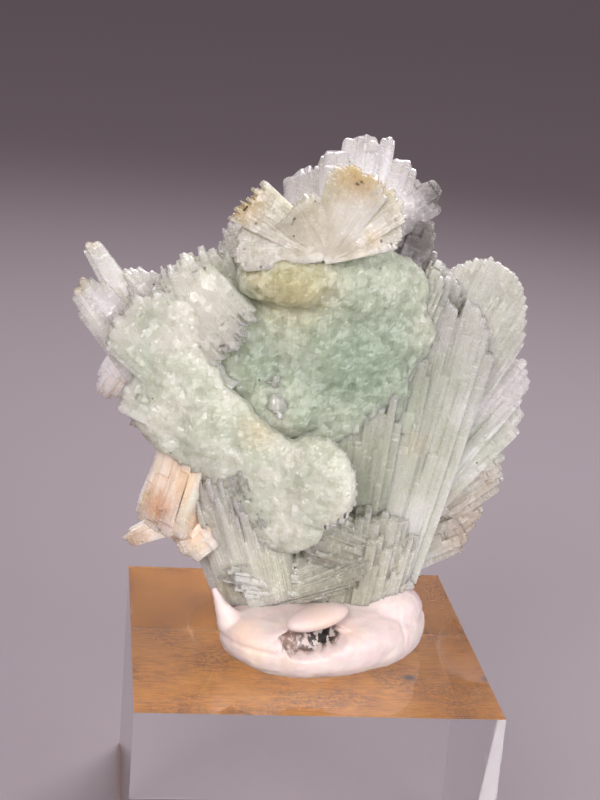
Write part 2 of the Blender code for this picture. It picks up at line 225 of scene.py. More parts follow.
RIGHT_WING = [
    Fan(
        "right_front", (8.4, 0, 34), (13.8, 1, 66.4), (4.4, 3.4), (6.6, 2.2),
        blade=0.8, jag=0.06, step=0.015, drop=0.07,
    ),
    Fan(
        "right_steps", (7.6, 0.5, 44), (9, -0.6, 62), (3, 2.4), (3.2, 1.6),
        rounding=0.25, blade=0.7, jag=0.12, step=0.03, drop=0.12, lens=0.3,
    ),
    Fan(
        "right_lobe", (11, 3, 50), (20, 4.5, 69.9), (5, 2.8), (7.2, 1.4),
        rounding=0.33, blade=0.5, jag=0.01, step=0.02, drop=0.05,
    ),
    Fan(
        "right_top", (8, 3, 50), (13.8, 3.4, 69.2), (4, 2.8), (3.4, 1.8),
        rounding=0.3, blade=0.6, jag=0.02, step=0.02, drop=0.06,
    ),
    Fan("right_edge", (13, 3.4, 46), (23.6, 5.4, 58.8), (4, 2.6), (3.6, 1.4), blade=0.7, step=0.2),
    Fan("right_blades", (12, 3, 42), (23.8, 5.4, 53.6), (3.6, 2.6), (3, 1.4), blade=0.7, step=0.2),
    Fan("right_low", (10, 3, 38), (22.6, 4.8, 46.6), (3.4, 2.8), (3.2, 1.6), blade=0.6),
    Fan("right_lower", (9, 2, 35), (20.2, 3.4, 41.8), (3.2, 2.8), (2.5, 1.6)),
    Fan(
        "right_tan", (7, 1, 34), (18.2, 1.2, 38.6), (2.8, 2.8), (2.2, 1.8),
        rounding=0.15, blade=0.9, jag=0.03, step=0.03, drop=0.1,
    ),
]

FOOT = [
    Fan(
        "foot", (1, -0.6, 27.6), (0.6, 0.6, 42), (8.6, 4.4), (12.5, 5.6),
        rounding=0.1, blade=0.8, step=0.05,
    ),
    Fan("foot_left", (9, -1, 31.8), (-9.6, -4, 34.6), (2.4, 2.8), (2.8, 2.6), rounding=0.1),
    Fan("foot_right", (2, 0, 32.4), (13.2, 1, 34.4), (2.4, 2.8), (2.4, 2.4), rounding=0.1),
    Fan(
        "foot_spray", (-7, -3.4, 31), (6, -4.4, 37.6), (1.4, 1.8), (3.8, 1.2),
        rounding=0.25, blade=0.5, jag=0.08, step=0.06, drop=0.1, lens=0.4,
    ),
    Fan(
        "foot_spray_low", (-5, -3.4, 31), (12, -2.4, 34), (1.2, 1.8), (2.8, 1.2),
        blade=0.5, jag=0.08, step=0.06, drop=0.1, lens=0.4,
    ),
    Fan(
        "left_face", (-5.5, -1.5, 31.5), (-11.6, -3, 48), (5, 3.4), (6, 2.8),
        rounding=0.1, face=FRONT_LEFT, blade=0.45,
    ),
    Fan("spray", (8, -1, 36), (-1.6, -6, 41), (2.4, 2.6), (3.4, 1.8)),
]

TAN_CLUMP = [
    Fan(
        "tan_column", (-13.5, -0.5, 51), (-17.4, -2, 38.4), (3, 2.6), (3.4, 2.2),
        rounding=0.1, face=FRONT_LEFT, blade=0.8, step=0.16,
    ),
    Fan("tan_spike", (-13, -1, 41), (-21, -2, 37.4), (2.2, 1.6), (1, 0.7), blade=0.7),
    Fan("tan_low", (-9, -1, 42), (-15, -2.6, 36.4), (2.8, 2.2), (2.2, 1.6), rounding=0.1, blade=0.7),
    Fan("tan_shelf", (-12, 2, 53), (-21, 3, 49.8), (2.4, 2.2), (2, 1.6)),
    Fan(
        "lilac_blades", (-19, 3.4, 60.6), (-24.2, 4.2, 52.4), (2.8, 1.8), (2.3, 1.2),
        rounding=0.25, face=FRONT_LEFT, blade=0.6,
    ),
]

BACK_FANS = [
    Fan("back_foot", (1, 3.4, 29.6), (1, 8, 37.6), (6.5, 2.4), (8, 1.6), face=BACK),
    Fan("back_middle", (0, 3, 35), (1.5, 10, 60), (8, 4.4), (8.5, 2.6), rounding=0.3, face=BACK),
    Fan("back_left", (-3, 4, 37), (-13.3, 9, 57), (5, 4), (6, 2.4), rounding=0.3, face=BACK_LEFT),
    Fan("back_right", (4, 4, 37), (13.5, 10, 56), (5, 4.4), (6, 2.6), rounding=0.3, face=BACK_RIGHT),
    Fan("back_top", (0, 5, 52), (2, 9.6, 71.5), (6, 3.4), (6.4, 2), rounding=0.3, face=BACK),
    Fan("back_low_left", (0, 2, 33), (-8.5, 8.6, 42.5), (4, 3), (4, 2), face=BACK_LEFT),
    Fan("back_low_right", (2, 2, 33), (8.5, 9.2, 41.5), (4, 3), (4, 2), face=BACK_RIGHT),
]

ZONES = {
    "crown": CROWN,
    "cream_fans": CREAM_FANS,
    "centre": CENTRE,
    "groove": GROOVE,
    "left_wing": LEFT_WING,
    "crust": CRUST,
    "right_wing": RIGHT_WING,
    "foot": FOOT,
    "tan_clump": TAN_CLUMP,
    "back": BACK_FANS,
}

# How far behind its end a blade has its steps down, as shares of its fan's length, and how long each one is
BLADE_BREAKS = (0.42, 0.2, 0.07)
BREAK_LENGTH = 0.25

# How finely the skin of a crust is meshed, how often it is smoothed, and how wide and high its swells are
SKIN_STEP = 0.3
SKIN_MELTING = 16
SWELL_WIDTH = 3.6
SWELL_HEIGHT = 0.32

# The putty, as in the solid: a boat-shaped lump that is turned and flat below
PUTTY_CENTRE = Vector((2.0, -3.2, 28.0))
PUTTY_HALF = (12.7, 8.7, 4.6)
PUTTY_TURN = math.radians(22)
PUTTY_ALONG = Vector((math.cos(PUTTY_TURN), math.sin(PUTTY_TURN), 0))
PUTTY_FRONT = Vector((math.sin(PUTTY_TURN), -math.cos(PUTTY_TURN), 0))
PUTTY_BASE = 25.02
PUTTY_STEP = 0.22
PUTTY_MELTING = 10

# The recess in its front: its place along the lump, its level and slope, its halves and depth, and its lip
RECESS_ALONG = -5.2
RECESS_LEVEL = 29.7
RECESS_SLOPE = 0.17
RECESS_HALF = (4.1, 1.8)
RECESS_DEPTH = 2.6
LIP_HEIGHT = 0.7

# The flap over the recess
FLAP_CENTRE = (0.1, -9.6, 31.8)
FLAP_HALF = (3.8, 2, 1.2)
FLAP_SLOPE = math.radians(-9)

# The shoulder at its right end, and the tail on its left: two lengths, each with its ends and its radii there
SHOULDER_CENTRE = (9.2, -2.4, 30)
SHOULDER_HALF = (4.4, 4.2, 3.2)
TAIL = (
    ((-8.6, -6.2, 28.4), (-10.2, -6.2, 31.2), 1.7, 0.95),
    ((-10.0, -6.2, 30.8), (-11.3, -6.0, 33.5), 1.0, 0.3),
)

# The block and the sheet below it, with a hair of air between them
BLOCK_HALF = 20.0
BLOCK_TOP = 25.0
SHEET_TOP = 0.6
AIR = 0.02

# The stage
SKY_COLOR = (0.3, 0.255, 0.275)
FLOOR_COLOR = (0.23, 0.19, 0.21)
LIGHT_SPREAD = math.radians(80)


def turn_of_camera():
    """The camera's turn, from its yaw, pitch and roll."""
    forward = Vector((
        -math.sin(CAMERA_YAW) * math.cos(CAMERA_PITCH),
        math.cos(CAMERA_YAW) * math.cos(CAMERA_PITCH),
        -math.sin(CAMERA_PITCH),
    ))
    level = Vector((math.cos(CAMERA_YAW), math.sin(CAMERA_YAW), 0))
    above = level.cross(forward)
    right = level * math.cos(CAMERA_ROLL) + above * math.sin(CAMERA_ROLL)
    up = above * math.cos(CAMERA_ROLL) - level * math.sin(CAMERA_ROLL)
    return Matrix((right, up, -forward)).transposed().to_4x4()


def add_camera():
    data = bpy.data.cameras.new("camera")
    data.lens = CAMERA_LENS
    data.sensor_width = CAMERA_SENSOR
    data.clip_start = 0.01
    camera = bpy.data.objects.new("camera", data)
    bpy.context.scene.collection.objects.link(camera)
    camera.matrix_world = Matrix.Translation(Vector(CAMERA_PLACE) * MM) @ turn_of_camera()
    bpy.context.scene.camera = camera


def add_light(name, place, aim, size, power, color):
    data = bpy.data.lights.new(name, "AREA")
    data.shape = "RECTANGLE"
    data.size, data.size_y = (side * MM for side in size)
    data.energy = power
    data.color = color
    data.spread = LIGHT_SPREAD
    light = bpy.data.objects.new(name, data)
    bpy.context.scene.collection.objects.link(light)
    place = Vector(place) * MM
    turn = (Vector(aim) * MM - place).to_track_quat("-Z", "Y")
    light.matrix_world = Matrix.Translation(place) @ turn.to_matrix().to_4x4()


def add_stage():
    world = bpy.data.worlds.new("world")
    world.use_nodes = True
    sky = world.node_tree.nodes["Background"]
    sky.inputs["Color"].default_value = (*SKY_COLOR, 1)
    sky.inputs["Strength"].default_value = 1.0
    bpy.context.scene.world = world
    bpy.context.scene.view_settings.view_transform = "Standard"
    add_light("key", (-420, -760, 560), (0, 0, 50), (460, 460), 1.45, (1, 0.97, 0.95))
    add_light("fill", (440, -640, 180), (0, 0, 45), (420, 420), 1.0, (0.97, 0.98, 1))
    add_light("rim", (160, 460, 560), (0, 0, 60), (420, 260), 1.2, (1, 0.98, 1))
    bpy.ops.mesh.primitive_plane_add(size=6, location=(0, 0, 0))
    floor = bpy.context.object
    floor.name = "floor"
    floor.data.materials.append(plain("pale floor", FLOOR_COLOR, 0.7))


def plain(name, color, roughness, **more):
    material = bpy.data.materials.new(name)
    material.use_nodes = True
    shader = material.node_tree.nodes["Principled BSDF"]
    shader.inputs["Base Color"].default_value = (*color, 1)
    shader.inputs["Roughness"].default_value = roughness
    for socket, value in more.items():
        shader.inputs[socket.replace("_", " ")].default_value = value
    return material


class Nodes:
    """Shorthand for the node tree of one material."""

    def __init__(self, material):
        self.tree = material.node_tree
        self.shader = self.tree.nodes["Principled BSDF"]
        self.place = self.new("ShaderNodeTexCoord").outputs["Object"]

    def new(self, kind, inputs=(), **settings):
        node = self.tree.nodes.new(kind)
        for name, value in settings.items():
            setattr(node, name, value)
        for key, value in dict(inputs).items():
            self.put(node.inputs[key], value)
        return node

    def put(self, socket, value):
        if isinstance(value, bpy.types.NodeSocket):
            self.tree.links.new(value, socket)
        else:
            socket.default_value = value

    def math(self, operation, *values):
        return self.new("ShaderNodeMath", enumerate(values), operation=operation).outputs[0]

    def span(self, value, low, high, to_low=0.0, to_high=1.0):
        """The value's way from low to high, as a smooth step between two others."""
        node = self.new("ShaderNodeMapRange", {
            "Value": value, "From Min": low, "From Max": high, "To Min": to_low, "To Max": to_high,
        }, interpolation_type="SMOOTHSTEP")
        return node.outputs["Result"]

    def vector(self, operation, *values, output="Vector"):
        return self.new("ShaderNodeVectorMath", enumerate(values), operation=operation).outputs[output]

    def scaled(self, vector, scale):
        return self.vector("MULTIPLY", vector, scale)

    def noise(self, vector, scale, detail=2.0, roughness=0.5):
        node = self.new("ShaderNodeTexNoise", {
            "Vector": vector, "Scale": scale, "Detail": detail, "Roughness": roughness,
        })
        return node.outputs["Fac"]

    def cells(self, vector, scale, output="Distance"):
        return self.new("ShaderNodeTexVoronoi", {"Vector": vector, "Scale": scale}).outputs[output]

    def mix(self, share, first, second, blend="MIX"):
        inputs = {0: share, 6: first, 7: second}
        return self.new("ShaderNodeMix", inputs, data_type="RGBA", blend_type=blend).outputs[2]

    def nearness(self, vector, centre, reach, ragged):
        """1 within reach of a place, and 0 well outside it, with a ragged border."""
        apart = self.vector("DISTANCE", vector, centre, output="Value")
        apart = self.math("MULTIPLY_ADD", ragged, reach * 0.8, apart)
        return self.span(apart, reach * 1.5, reach * 0.5)

    def stained_and_shaded(self, color, vector, stains_and_shade, ragged):
        """The colour with these patches of staining and painted shade on it, each with a ragged border."""
        for patch in stains_and_shade:
            near = self.nearness(vector, patch.centre, patch.reach, ragged)
            color = self.mix(self.math("MULTIPLY", near, patch.strength), color, (*patch.color, 1))
        return color

    def specks(self, vector, scale, size, rarity):
        """1 on dots of this size in cells, most of which have none."""
        dots = self.math("LESS_THAN", self.cells(vector, scale), size)
        chance = self.new("ShaderNodeSeparateColor", {0: self.cells(vector, scale, "Color")}).outputs[0]
        return self.math("MULTIPLY", dots, self.math("GREATER_THAN", chance, rarity))

    def bump(self, height, distance, strength=1.0, normal=None):
        inputs = {"Height": height, "Distance": distance, "Strength": strength}
        if normal:
            inputs["Normal"] = normal
        return self.new("ShaderNodeBump", inputs).outputs["Normal"]


@dataclass(frozen=True)
class StainAndShadePatch:
    """A patch of another colour, whether staining or painted shade: where it is, how far it reaches and how
    much of it shows.
    """

    centre: tuple
    reach: float
    color: tuple
    strength: float


@dataclass(frozen=True)
class Look:
    """The colours of a zone, how clear its body and its rims are, and how striped and sugary it is."""

    body: tuple
    pale: tuple
    clear: float
    clear_rim: float
    striae: float
    sugar: float
    stains_and_shade: tuple


CREAM = (0.56, 0.51, 0.4)
WHITE = (0.74, 0.71, 0.66)
MINT = (0.5, 0.545, 0.43)
PALE_MINT = (0.6, 0.6, 0.5)
GREEN = (0.34, 0.42, 0.31)
SAGE = (0.44, 0.46, 0.36)
LILAC = (0.93, 0.89, 0.9)
# Painted shade: the dark of the dim backdrop seen through clear crystal.
SEE_THROUGH_DARK = (0.22, 0.2, 0.19)
OCHRE = (0.58, 0.42, 0.2)
OLIVE = (0.52, 0.47, 0.26)
PEACH = (0.95, 0.7, 0.5)
RUST = (0.36, 0.14, 0.05)
ROSY_TAN = (0.56, 0.44, 0.35)

LOOKS = {
    "crown": Look(
        LILAC, (0.96, 0.93, 0.93), clear=0.15, clear_rim=0.55, striae=0.5, sugar=0.1,
        stains_and_shade=(
            # Painted shade on the clear crown lobe and its neck, where the dim backdrop would show through
            # them.
            StainAndShadePatch((11.5, 4.5, 77), 3.6, SEE_THROUGH_DARK, 0.95),
            StainAndShadePatch((10, 2, 72.5), 5, SEE_THROUGH_DARK, 0.9),
        ),
    ),
    "cream_fans": Look(
        CREAM, WHITE, clear=0.05, clear_rim=0.3, striae=0.22, sugar=0.12,
        stains_and_shade=(
            StainAndShadePatch((-8, -5, 74), 6, (0.48, 0.44, 0.34), 0.6),
            StainAndShadePatch((-11, -5, 77), 3.4, OCHRE, 0.85),
            StainAndShadePatch((1.4, -4.6, 80.8), 4, OCHRE, 0.8),
            StainAndShadePatch((6, -4, 79.6), 3, OCHRE, 0.5),
            StainAndShadePatch((3.2, -6, 73.8), 1.6, OCHRE, 0.6),
        ),
    ),
    "centre": Look(
        MINT, PALE_MINT, clear=0.1, clear_rim=0.25, striae=0.5, sugar=0.6,
        stains_and_shade=(
            # Partly the mineral's greener colour, partly painted shade: the recess is darkened green towards
            # its middle.
            StainAndShadePatch((3.6, -4, 58.6), 11, GREEN, 0.95),
            StainAndShadePatch((-5, -5.4, 68), 7, OLIVE, 0.9),
            StainAndShadePatch((-8.6, -4, 69), 2, OCHRE, 0.6),
            # Partly greener colour, partly painted shade in the recess on the left.
            StainAndShadePatch((-7.5, -1.5, 58.5), 5, GREEN, 0.8),
        ),
    ),
    "groove": Look(
        (0.5, 0.52, 0.42), PALE_MINT, clear=0.1, clear_rim=0.3, striae=0.4, sugar=0.12,
        stains_and_shade=(
            StainAndShadePatch((4.6, -3, 42), 10, SAGE, 0.85),
            # Partly greener colour, partly painted shade where the recess meets the groove.
            StainAndShadePatch((3.6, -4, 57), 6, GREEN, 0.6),
        ),
    ),
    "left_wing": Look(
        (0.8, 0.79, 0.73), LILAC, clear=0.15, clear_rim=0.45, striae=0.6, sugar=0.12,
        stains_and_shade=(
            StainAndShadePatch((-28.4, 1.5, 66.2), 2.4, OCHRE, 0.9),
            StainAndShadePatch((-26.8, 2.5, 70.6), 1.8, OCHRE, 0.7),
            StainAndShadePatch((-14.4, -3, 66.5), 1.2, OCHRE, 0.6),
        ),
    ),
    "crust": Look(
        (0.57, 0.6, 0.49), (0.71, 0.7, 0.61), clear=0.08, clear_rim=0.3, striae=0.2, sugar=0.5,
        stains_and_shade=(
            StainAndShadePatch((-13, -3, 64), 7, (0.76, 0.74, 0.67), 0.8),
            StainAndShadePatch((-19, -4, 57.6), 1.6, (0.82, 0.76, 0.7), 0.8),
            StainAndShadePatch((-14, -6, 54.4), 1.5, (0.82, 0.76, 0.7), 0.8),
            StainAndShadePatch((-7.6, -7, 52.4), 3.2, OCHRE, 0.35),
            StainAndShadePatch((-8, -9, 44.4), 0.7, RUST, 0.9),
            StainAndShadePatch((-6.6, -9.6, 42.8), 0.6, RUST, 0.9),
        ),
    ),
    "right_wing": Look(
        (0.57, 0.58, 0.49), (0.74, 0.73, 0.69), clear=0.12, clear_rim=0.45, striae=0.4, sugar=0.12,
        stains_and_shade=(
            StainAndShadePatch((7, -2, 55), 9, MINT, 0.8),
            StainAndShadePatch((24, 5, 56), 9, (0.8, 0.75, 0.76), 0.7),
            StainAndShadePatch((19, 1, 38.5), 7, ROSY_TAN, 0.8),
            StainAndShadePatch((20.6, 3, 44.4), 2.6, ROSY_TAN, 0.6),
            StainAndShadePatch((10.6, -3, 50), 2.6, CREAM, 0.6),
            StainAndShadePatch((17.6, 2, 63), 3, WHITE, 0.9),
        ),
    ),
    "foot": Look(
        (0.65, 0.65, 0.54), (0.77, 0.76, 0.68), clear=0.12, clear_rim=0.4, striae=0.7, sugar=0.12,
        stains_and_shade=(
            StainAndShadePatch((3, -5, 34), 10, (0.39, 0.38, 0.29), 0.9),
            StainAndShadePatch((-10, -4, 32), 2, OLIVE, 0.7),
            StainAndShadePatch((8, -1, 34), 5, ROSY_TAN, 0.5),
        ),
    ),
    "tan_clump": Look(
        PEACH, (0.98, 0.84, 0.74), clear=0.0, clear_rim=0.3, striae=0.6, sugar=0.12,
        stains_and_shade=(
            StainAndShadePatch((-18, -3, 41.5), 2.6, (0.62, 0.3, 0.12), 0.6),
            StainAndShadePatch((-24, 4, 56), 6, LILAC, 0.9),
            StainAndShadePatch((-20.5, -3, 37), 3, (0.46, 0.27, 0.15), 0.7),
            StainAndShadePatch((-20, 3, 50.4), 2.4, SAGE, 0.5),
        ),
    ),
    "back": Look(
        (0.66, 0.66, 0.57), LILAC, clear=0.2, clear_rim=0.5, striae=0.6, sugar=0.2,
        stains_and_shade=(
            StainAndShadePatch((6, 9, 40), 5, ROSY_TAN, 0.5),
            StainAndShadePatch((-8, 9, 60), 4, OCHRE, 0.4),
        ),
    ),
}

PUTTY_STAINS = (
    StainAndShadePatch((-7.8, -9.2, 29.6), 2.6, (0.98, 0.74, 0.56), 0.7),
    StainAndShadePatch((-6.4, -10.8, 28), 2.6, (0.98, 0.76, 0.6), 0.7),
    StainAndShadePatch((0.8, -11.2, 32.2), 3.6, (0.74, 0.54, 0.4), 0.5),
    StainAndShadePatch((4.2, -10.4, 31), 2.4, (0.7, 0.52, 0.4), 0.5),
    StainAndShadePatch((-3.2, -11.8, 27.6), 1.6, (0.7, 0.52, 0.38), 0.5),
    StainAndShadePatch((8.7, -7.2, 33.2), 1.4, (0.35, 0.2, 0.14), 0.8),
)


def crystal_material(name, look):
    material = plain(
        name + " crystal", look.body, 0.25, IOR=1.56, Subsurface_Weight=1.0, Subsurface_Scale=0.0025,
    )
    n = Nodes(material)
    n.shader.inputs["Subsurface Radius"].default_value = (1.0, 1.08, 0.9)
    growth = n.new("ShaderNodeAttribute", attribute_name="growth").outputs["Vector"]
    tone = n.new("ShaderNodeAttribute", attribute_name="tone").outputs["Fac"]
    rim = n.new("ShaderNodeSeparateXYZ", {0: growth}).outputs["Z"]
    millimetres = n.scaled(n.place, (1000, 1000, 1000))
    clouds = n.noise(millimetres, 0.16, 3.0)
    grain = n.noise(millimetres, 1.4, 4.0, 0.65)
    streaks = n.noise(n.scaled(growth, (4.0, 0.3, 1.0)), 1.0, 3.0, 0.6)
    color = n.mix(n.span(clouds, 0.35, 0.7), (*look.body, 1), (*look.pale, 1))
    # Painted light: the ends of the blades are mixed towards white, standing in for light shining through
    # their thin rims.
    color = n.mix(n.math("MULTIPLY", n.span(rim, 0.5, 1.0), 0.5), color, (*WHITE, 1))
    color = n.stained_and_shaded(color, millimetres, look.stains_and_shade, grain)
    shade = n.math("ADD", n.span(streaks, 0.3, 0.7, -0.5, 0.5), n.math("MULTIPLY_ADD", tone, 0.8, -0.4))
    shade = n.math("MULTIPLY_ADD", shade, 0.24 * look.striae, 1.0)
    gray = n.new("ShaderNodeCombineColor", {0: shade, 1: shade, 2: shade}).outputs[0]
    color = n.mix(1.0, color, gray, "MULTIPLY")
    color = n.mix(n.specks(millimetres, 0.42, 0.045, 0.8), color, (0.06, 0.06, 0.05, 1))
    n.put(n.shader.inputs["Base Color"], color)
    rough = n.span(grain, 0.3, 0.7, 0.08 + 0.3 * look.sugar, 0.3 + 0.3 * look.sugar)
    n.put(n.shader.inputs["Roughness"], rough)
    clear = n.math("MULTIPLY_ADD", rim, look.clear_rim - look.clear, look.clear)
    n.put(n.shader.inputs["Transmission Weight"], clear)
    ends = n.vector("SUBTRACT", n.cells(millimetres, 1.2, "Color"), (0.5, 0.5, 0.5))
    lean = n.scaled(ends, (look.sugar,) * 3)
    skin = n.new("ShaderNodeNewGeometry").outputs["Normal"]
    faceted = n.vector("NORMALIZE", n.vector("ADD", skin, lean))
    fine = n.bump(n.math("MULTIPLY", streaks, look.striae), 0.00018, 0.6, faceted)
    n.put(n.shader.inputs["Normal"], n.bump(grain, 0.0002 * look.sugar, 0.5, fine))
    return material


def fan_object(fan):
    points, faces, growth, tones = fan_skin(fan)
    mesh = bpy.data.meshes.new(fan.name)
    mesh.from_pydata([point * MM for point in points], [], faces)
    record_growth(mesh, growth, tones)
    return bpy.data.objects.new(fan.name, mesh)


def record_growth(mesh, growth, tones):
    """Keep at each corner its place across and along the growth with its nearness to a rim, and its tone."""
    corners = [loop.vertex_index for loop in mesh.loops]
    places = mesh.attributes.new("growth", "FLOAT_VECTOR", "CORNER")
    places.data.foreach_set("vector", [part for corner in corners for part in growth[corner]])
    shades = mesh.attributes.new("tone", "FLOAT", "CORNER")
    shades.data.foreach_set("value", [tones[corner] for corner in corners])


def fan_axes(fan):
    """Unit vectors along the fan, across it and out of its face."""
    along = (Vector(fan.tip) - Vector(fan.root)).normalized()
    face = Vector(fan.face)
    face = (face - along * face.dot(along)).normalized()
    return along, along.cross(face), face


def blade_edges(count, dice):
    """Places across a fan, from -1 to 1, that bound blades of uneven width."""
    widths = [dice.uniform(0.6, 1.5) ** 2 for _ in range(count)]
    edges = [0.0]
    for width in widths:
        edges.append(edges[-1] + width)
    return [2 * edge / edges[-1] - 1 for edge in edges]


def fan_skin(fan):
    """The closed skin of a fan: on each side, blades that drop in ragged steps towards their ends."""
    dice = random.Random(fan.name)
    seed = Vector([dice.uniform(0, 100) for _ in range(3)])
    along, across, face = fan_axes(fan)
    root = Vector(fan.root)
    reach = (Vector(fan.tip) - root).length
    count = max(3, round(2 * fan.tip_half[0] / fan.blade))
    edges = blade_edges(count, dice)
    points, growth, tones = [], [], []

    def place(u, height, depth):
        half_width = fan.root_half[0] + (fan.tip_half[0] - fan.root_half[0]) * height**0.8
        return root + along * (reach * height) + across * (half_width * u) + face * depth

    def half_depth(u, height):
        half = fan.root_half[1] + (fan.tip_half[1] - fan.root_half[1]) * height
        return half * (1 - fan.lens + fan.lens * (1 - abs(u) ** 2.4) ** 0.5)

    def broad(u, offset, size):
        """A value from about -1 to 1 that changes slowly across the fan."""
        return noise.noise(seed + Vector((u * fan.tip_half[0] / size, offset, 0))) * 1.6

    lengths = []
    for start, end in zip(edges, edges[1:]):
        u = (start + end) / 2
        ragged = 0.7 * broad(u, 0, 1.6) + 0.5 * broad(u, 9, 0.6) + dice.uniform(-0.6, 0.6)
        lengths.append(max(0.5, 1 - fan.rounding * abs(u) ** 2.2 + fan.jag * ragged))

    for side in (1, -1):
        for blade, (start, end) in enumerate(zip(edges, edges[1:])):
            u = (start + end) / 2
            length = lengths[blade]
            tone = dice.random()
            proud = fan.step * (1.6 * broad(u, 20 * side, 2.2) + dice.uniform(-0.6, 0.6))
            tilt = fan.step * dice.uniform(-0.5, 0.5)
            for lean, edge in ((-tilt, start), (tilt, end)):
                for height, level, pinch in blade_rows(fan, blade, side, length, reach, broad, u):
                    rise = (proud + lean) * min(1.0, 0.3 + height)
                    depth = side * (half_depth(u, height) * (1 - level) + rise)
                    rim = max(0.0, min(1.0, 2.2 * height / length - 1.2))
                    points.append(place(edge + (u - edge) * pinch, height, depth))
                    growth.append((edge * fan.tip_half[0], height * reach, rim))
                    tones.append(tone)
    return points, grid_faces(len(points) // 2, 2 * count), growth, tones


def blade_rows(fan, blade, side, length, reach, broad, u):
    """The rows of one side of a blade: each one's height, its drop in level and how much it narrows."""
    width = max(0.3, fan.blade) / reach
    dice = random.Random(f"{fan.name} {blade} {side}")
    breaks = []
    for step, share in enumerate(BLADE_BREAKS):
        wander = 1 + 0.9 * broad(u, 40 * side + 7 * step, 1.1) + dice.uniform(-0.4, 0.4)
        breaks.append(max(0.1, length - share * max(0.2, wander)))
    breaks.sort()
    rows = [(0.0, 0.0, 0.0), (breaks[0] * 0.5, 0.0, 0.0)]
    level = 0.0
    for height in breaks:
        rows.append((height, level, 0.0))
        level += fan.drop * dice.uniform(0.3, 1.7)
        rows.append((height + BREAK_LENGTH / reach, level, 0.0))
    last = max(length, rows[-1][0] + 0.5 * width)
    rows.append((last - 0.35 * width, level, 0.05))
    rows.append((last - 0.12 * width, level + 0.12, dice.uniform(0.2, 0.4)))
    rows.append((last, level + 0.35, dice.uniform(0.5, 0.8)))
    return rows


def grid_faces(per_side, columns):
    """The faces of a front and a back grid of points, sewn together along their borders."""
    rows = per_side // columns

    def at(side, column, row):
        return side * per_side + column * rows + row

    faces = []
    for column in range(columns - 1):
        for row in range(rows - 1):
            for side in (0, 1):
                ring = (at(side, column, row), at(side, column + 1, row),
                        at(side, column + 1, row + 1), at(side, column, row + 1))
                faces.append(ring if side == 0 else ring[::-1])
        for row in (0, rows - 1):
            ring = (at(0, column, row), at(1, column, row), at(1, column + 1, row), at(0, column + 1, row))
            faces.append(ring if row == 0 else ring[::-1])
    for column in (0, columns - 1):
        for row in range(rows - 1):
            ring = (at(0, column, row), at(0, column, row + 1), at(1, column, row + 1), at(1, column, row))
            faces.append(ring if column == 0 else ring[::-1])
    return faces


def crust_object(crust):
    """Lumps under one skin, roughened by small crystal ends."""
    bm = bmesh.new()
    for lump in crust.lumps:
        for vert in bmesh.ops.create_icosphere(bm, subdivisions=4, radius=1.0)["verts"]:
            depth = math.copysign(abs(vert.co.y) ** lump.flat, vert.co.y)
            place = Vector((vert.co.x, depth, vert.co.z)) * Vector(lump.radii)
            vert.co = Vector(lump.centre) + place - Vector((0, crust.lean * place.x, 0))
    mesh = bpy.data.meshes.new(crust.name)
    bm.to_mesh(mesh)
    bm.free()
    mesh = with_modifiers(mesh, (
        ("REMESH", {"mode": "VOXEL", "voxel_size": SKIN_STEP}),
        ("SMOOTH", {"factor": 0.5, "iterations": SKIN_MELTING}),
    ))
    normals = [vert.normal.copy() for vert in mesh.vertices]
    growth, tones = [], []
    for vert, normal in zip(mesh.vertices, normals):
        swell = noise.fractal(vert.co / SWELL_WIDTH, 0.8, 2.0, 4) * SWELL_HEIGHT
        seeds = noise.voronoi(vert.co / crust.grain)[1]
        tilt = noise.cell_vector(seeds[0] * 7.3) - Vector((0.5, 0.5, 0.5))
        facet = (vert.co / crust.grain - seeds[0]).dot(tilt) * crust.grain + tilt.x * 0.3
        growth.append((vert.co.x, vert.co.z + 0.4 * vert.co.y, 0.0))
        tones.append(0.5 + tilt.y)
        vert.co = (vert.co + normal * (swell + facet * crust.relief)) * MM
    record_growth(mesh, growth, tones)
    return bpy.data.objects.new(crust.name, mesh)


def with_modifiers(mesh, modifiers):
    """The mesh after these modifiers."""
    obj = bpy.data.objects.new("unfinished", mesh)
    bpy.context.scene.collection.objects.link(obj)
    for kind, settings in modifiers:
        modifier = obj.modifiers.new(kind.lower(), kind)
        for name, value in settings.items():
            setattr(modifier, name, value)
    bpy.context.view_layer.update()
    finished = bpy.data.meshes.new_from_object(obj.evaluated_get(bpy.context.evaluated_depsgraph_get()))
    bpy.data.objects.remove(obj)
    return finished


def zone_object(name, crystals):
    """All the crystals of a zone in one mesh, joined where they overlap."""
    objects = []
    for crystal in crystals:
        if isinstance(crystal, Crust):
            objects.append(crust_object(crystal))
        else:
            objects.append(fan_object(crystal))
    first, *rest = objects
    bpy.context.scene.collection.objects.link(first)
    others = bpy.data.collections.new(name + " parts")
    bpy.context.scene.collection.children.link(others)
    for obj in rest:
        others.objects.link(obj)
    change = first.modifiers.new("grown together", "BOOLEAN")
    change.operation = "UNION"
    change.operand_type = "COLLECTION"
    change.collection = others
    change.solver = "MANIFOLD"
    bpy.context.view_layer.update()
    mesh = bpy.data.meshes.new_from_object(first.evaluated_get(bpy.context.evaluated_depsgraph_get()))
    piece = bpy.data.objects.new(name + "_crystals", mesh)
    for obj in objects:
        bpy.data.objects.remove(obj)
    bpy.data.collections.remove(others)
    bpy.context.scene.collection.objects.link(piece)
    return piece


def smooth_step(value, low, high):
    share = max(0.0, min(1.0, (value - low) / (high - low)))
    return share * share * (3 - 2 * share)


def hill(x):
    return math.exp(-x * x)


